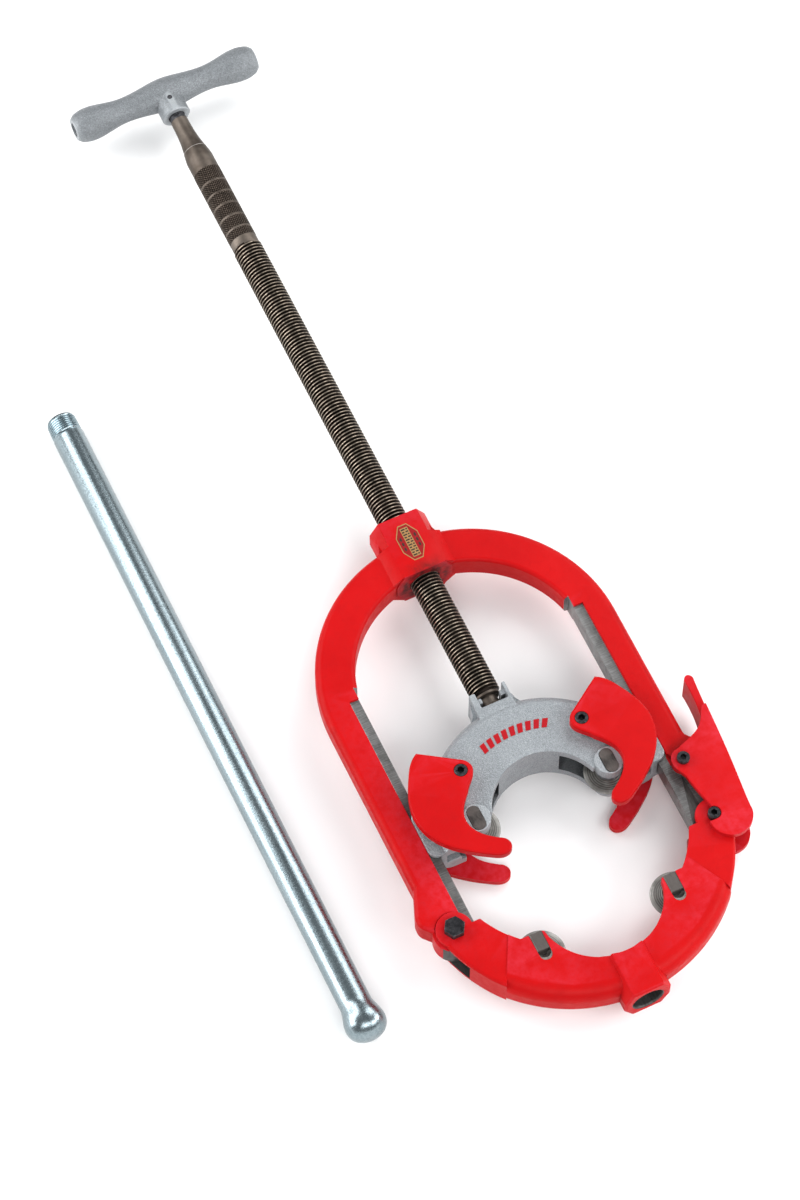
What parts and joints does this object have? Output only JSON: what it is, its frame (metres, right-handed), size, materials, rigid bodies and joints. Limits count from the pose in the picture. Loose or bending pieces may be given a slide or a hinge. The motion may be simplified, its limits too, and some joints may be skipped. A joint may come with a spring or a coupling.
{
  "type": "pipe cutter",
  "caption": "Hinged pipe cutter: a latched frame opens to wrap a pipe, and a tee handle screw presses cutter wheels on a slide toward it; loose tube handle.",
  "frame": {"origin": "centre of the square made by the four cutter wheels, on the middle plane of the tool", "axes": "+X to the latch side, +Y along the feed screw toward the tee handle, +Z out of the front face; the tool lies on its back"},
  "size_m": [0.4759, 1.1839, 0.0806],
  "materials": {
    "red_paint": "gloss red paint on rough castings, machined rails bare",
    "latch_paint": "gloss red paint",
    "label": "printed sticker, red and gold",
    "black_oxide": "black oxide",
    "pin_steel": "bare steel, dull",
    "slide_casting": "grainy silver casting",
    "slide_mark": "red band",
    "guide_paint": "gloss red paint",
    "screw_steel": "dark oiled steel with bright thread crests",
    "tee_casting": "grainy silver paint",
    "zinc": "bright zinc plating",
    "wheel_steel": "hardened steel, ground"
  },
  "bodies": {
    "frame": {"upper_frame": "red_paint", "hub_label": "label", "latch_pivot_screw": "black_oxide"},
    "slide": {"slide_block": "slide_casting", "slide_mark": "slide_mark", "guide_front_left": "guide_paint", "guide_front_right": "guide_paint", "guide_back_left": "guide_paint", "guide_back_right": "guide_paint", "guide_screws_front": "black_oxide", "guide_screws_back": "black_oxide", "upper_pin_left": "pin_steel", "upper_pin_right": "pin_steel"},
    "screw": {"feed_screw": "screw_steel", "t_handle": "tee_casting", "t_handle_pin": "pin_steel"},
    "lower": {"lower_frame": "red_paint", "hinge_bolt": "black_oxide", "catch_pin": "black_oxide", "lower_pin_left": "pin_steel", "lower_pin_right": "pin_steel"},
    "latch": {"latch": "latch_paint"},
    "handle": {"handle_tube": "zinc", "handle_knob": "zinc"},
    "wheel_ul": {"wheel_upper_left": "wheel_steel"},
    "wheel_ur": {"wheel_upper_right": "wheel_steel"},
    "wheel_ll": {"wheel_lower_left": "wheel_steel"},
    "wheel_lr": {"wheel_lower_right": "wheel_steel"}
  },
  "joints": [
    {"name": "slide_travel", "type": "slide", "parent": "frame", "child": "slide", "axis": [0, 1, 0], "range_m": [-0.0551, 0.1181]},
    {"name": "screw_turn", "type": "hinge", "parent": "slide", "child": "screw", "pos_m": [0, 0.5, 0], "axis": [0, 1, 0], "range_deg": [-4950, 10620]},
    {"name": "frame_hinge", "type": "hinge", "parent": "frame", "child": "lower", "pos_m": [-0.144, -0.021, 0], "axis": [0, 0, -1], "range_deg": [0, 60]},
    {"name": "latch_pivot", "type": "hinge", "parent": "frame", "child": "latch", "pos_m": [0.1425, 0.0445, 0], "axis": [0, 0, 1], "range_deg": [0, 13]},
    {"name": "handle_lift", "type": "slide", "parent": "frame", "child": "handle", "axis": [0, 0, 1], "range_m": [0, 0.4]},
    {"name": "wheel_upper_left_spin", "type": "hinge", "parent": "slide", "child": "wheel_ul", "pos_m": [-0.074, 0.0745, 0], "axis": [0, 0, 1], "continuous": true},
    {"name": "wheel_upper_right_spin", "type": "hinge", "parent": "slide", "child": "wheel_ur", "pos_m": [0.074, 0.0745, 0], "axis": [0, 0, 1], "continuous": true},
    {"name": "wheel_lower_left_spin", "type": "hinge", "parent": "lower", "child": "wheel_ll", "pos_m": [-0.074, -0.0745, 0], "axis": [0, 0, 1], "continuous": true},
    {"name": "wheel_lower_right_spin", "type": "hinge", "parent": "lower", "child": "wheel_lr", "pos_m": [0.074, -0.0745, 0], "axis": [0, 0, 1], "continuous": true}
  ],
  "couplings": [
    {"joint": "slide_travel", "follows": "screw_turn", "m_per_rad": 0.00063662}
  ]
}
